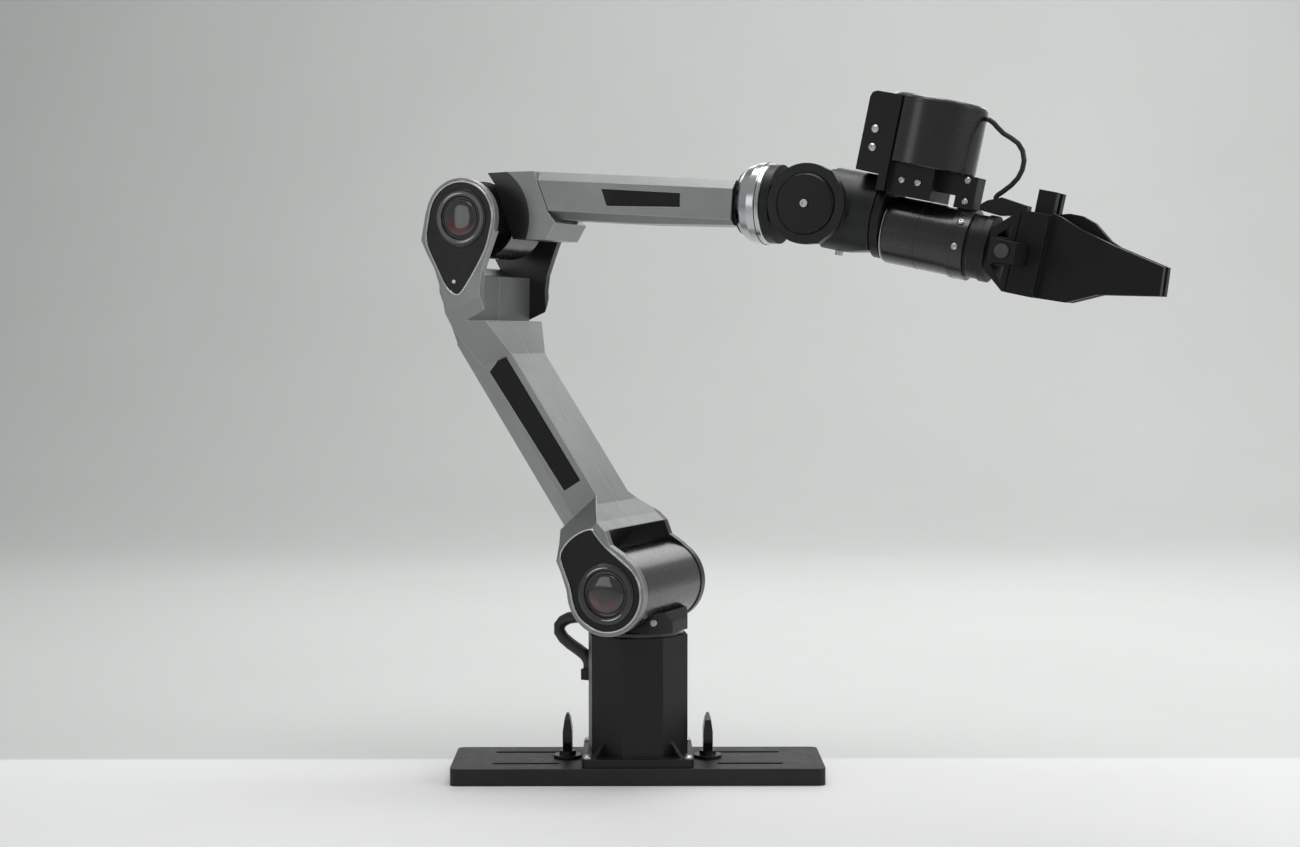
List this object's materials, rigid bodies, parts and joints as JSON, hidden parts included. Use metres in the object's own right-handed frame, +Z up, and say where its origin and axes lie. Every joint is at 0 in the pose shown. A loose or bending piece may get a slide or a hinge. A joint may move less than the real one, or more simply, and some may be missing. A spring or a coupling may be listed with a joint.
{
  "type": "desktop robot arm",
  "caption": "Serial desktop robot arm on a flat plate: black column and joint drums, silver faceted links, wrist with a drum housing and cable, parallel gripper.",
  "frame": {"origin": "centre of the base plate's underside, on the yaw axis", "axes": "+X along the plate's long side, +Y toward the back of the plate, +Z up; the arm is stored turned 25 degrees clockwise seen from above"},
  "size_m": [0.4954, 0.2773, 0.4747],
  "materials": {
    "plate_paint": "dark powder coat over steel",
    "black_anodised": "satin black",
    "black_gloss": "glossy black housing",
    "silver_body": "fine metallic silver grey paint over a moulded shell",
    "bell_silver": "turned, bright",
    "cover_black": "glossy black",
    "ring_dark": "dark, stepped, with a dark red tint",
    "label_black": "plain black insert, no lettering",
    "steel": "bright zinc",
    "inner_metal": "grey motor can",
    "board": "circuit board green",
    "cable": "black sheath",
    "thumb_plastic": "moulded black",
    "grey_housing": "dark grey satin",
    "finger_black": "black, lightly textured",
    "pad_rubber": "ribbed rubber"
  },
  "bodies": {
    "base": {"base_plate": "plate_paint", "screw_nuts": "steel", "column": "black_anodised", "flange_screws": "steel", "yaw_motor": "inner_metal", "yaw_bearing": "steel", "control_board": "board", "power_socket": "black_anodised", "data_socket": "black_anodised"},
    "thumb_left": {"thumb_screw_left": "thumb_plastic"},
    "thumb_right": {"thumb_screw_right": "thumb_plastic"},
    "shoulder": {"turntable": "black_gloss", "cradle": "black_anodised", "shoulder_motor": "black_gloss", "cradle_screws": "steel", "cable_shoe": "black_anodised", "harness_loop": "cable"},
    "upper_arm": {"arm_shell_near": "silver_body", "arm_shell_far": "silver_body", "arm_rib": "inner_metal", "arm_label_near": "label_black", "arm_label_far": "label_black", "shoulder_cover_near": "cover_black", "shoulder_cover_far": "cover_black", "shoulder_rings": "ring_dark", "elbow_cover_near": "cover_black", "elbow_cover_far": "cover_black", "elbow_rings": "ring_dark", "cover_screws": "steel"},
    "forearm": {"forearm_root": "silver_body", "forearm_tube": "silver_body", "elbow_motor": "black_gloss", "roll_motor": "inner_metal", "fore_label_near": "label_black", "fore_label_far": "label_black", "wrist_bell": "bell_silver"},
    "wrist_roll": {"wrist_collar": "black_anodised", "pitch_motor": "black_gloss"},
    "wrist_pitch": {"wrist_housing": "grey_housing", "wrist_caps": "cover_black", "wrist_screws": "steel", "flange_motor": "inner_metal"},
    "tool": {"tool_flange": "black_anodised", "tool_bracket": "black_anodised", "bracket_screws": "steel", "drum": "black_gloss", "drum_cap": "black_gloss", "drum_cable": "cable", "grip_barrel": "black_gloss", "grip_clamp": "black_gloss", "clamp_screws": "steel", "grip_neck": "grey_housing", "grip_yoke": "black_anodised", "guide_beam": "black_anodised", "beam_caps": "steel", "grip_motor": "inner_metal"},
    "jaw_near": {"finger_near": "finger_black", "pad_near": "pad_rubber"},
    "jaw_far": {"finger_far": "finger_black", "pad_far": "pad_rubber"}
  },
  "joints": [
    {"name": "thumb_left_turn", "type": "hinge", "parent": "base", "child": "thumb_left", "pos_m": [-0.05, 0.002, 0.012], "axis": [0, 0, 1], "continuous": true},
    {"name": "thumb_right_turn", "type": "hinge", "parent": "base", "child": "thumb_right", "pos_m": [0.05, 0.002, 0.012], "axis": [0, 0, 1], "continuous": true},
    {"name": "j1_yaw", "type": "hinge", "parent": "base", "child": "shoulder", "pos_m": [0, 0, 0.102], "axis": [0, 0, 1], "range_deg": [-129, 179]},
    {"name": "j2_shoulder", "type": "hinge", "parent": "shoulder", "child": "upper_arm", "pos_m": [0, 0, 0.135], "axis": [0.4226, 0.9063, 0], "range_deg": [-56, 115]},
    {"name": "j3_elbow", "type": "hinge", "parent": "upper_arm", "child": "forearm", "pos_m": [-0.103, 0.04803, 0.39636], "axis": [-0.4226, -0.9063, 0], "range_deg": [-49.7, 125.3]},
    {"name": "j4_forearm_roll", "type": "hinge", "parent": "forearm", "child": "wrist_roll", "pos_m": [0.0991, -0.04621, 0.40282], "axis": [0.9041, -0.4216, -0.0698], "range_deg": [-102, 102]},
    {"name": "j5_wrist", "type": "hinge", "parent": "wrist_roll", "child": "wrist_pitch", "pos_m": [0.12532, -0.05844, 0.4008], "axis": [-0.4226, -0.9063, 0], "range_deg": [-67, 83]},
    {"name": "j6_flange_roll", "type": "hinge", "parent": "wrist_pitch", "child": "tool", "pos_m": [0.16433, -0.07663, 0.39165], "axis": [-0.8865, 0.4134, 0.2079], "range_deg": [-100, 100]},
    {"name": "jaw_slide", "type": "slide", "parent": "tool", "child": "jaw_near", "axis": [-0.4226, -0.9063, 0], "range_m": [-0.003, 0.03]},
    {"name": "jaw_follow", "type": "slide", "parent": "tool", "child": "jaw_far", "axis": [0.4226, 0.9063, 0], "range_m": [-0.003, 0.03]}
  ],
  "couplings": [
    {"joint": "jaw_follow", "follows": "jaw_slide", "ratio": 1}
  ]
}
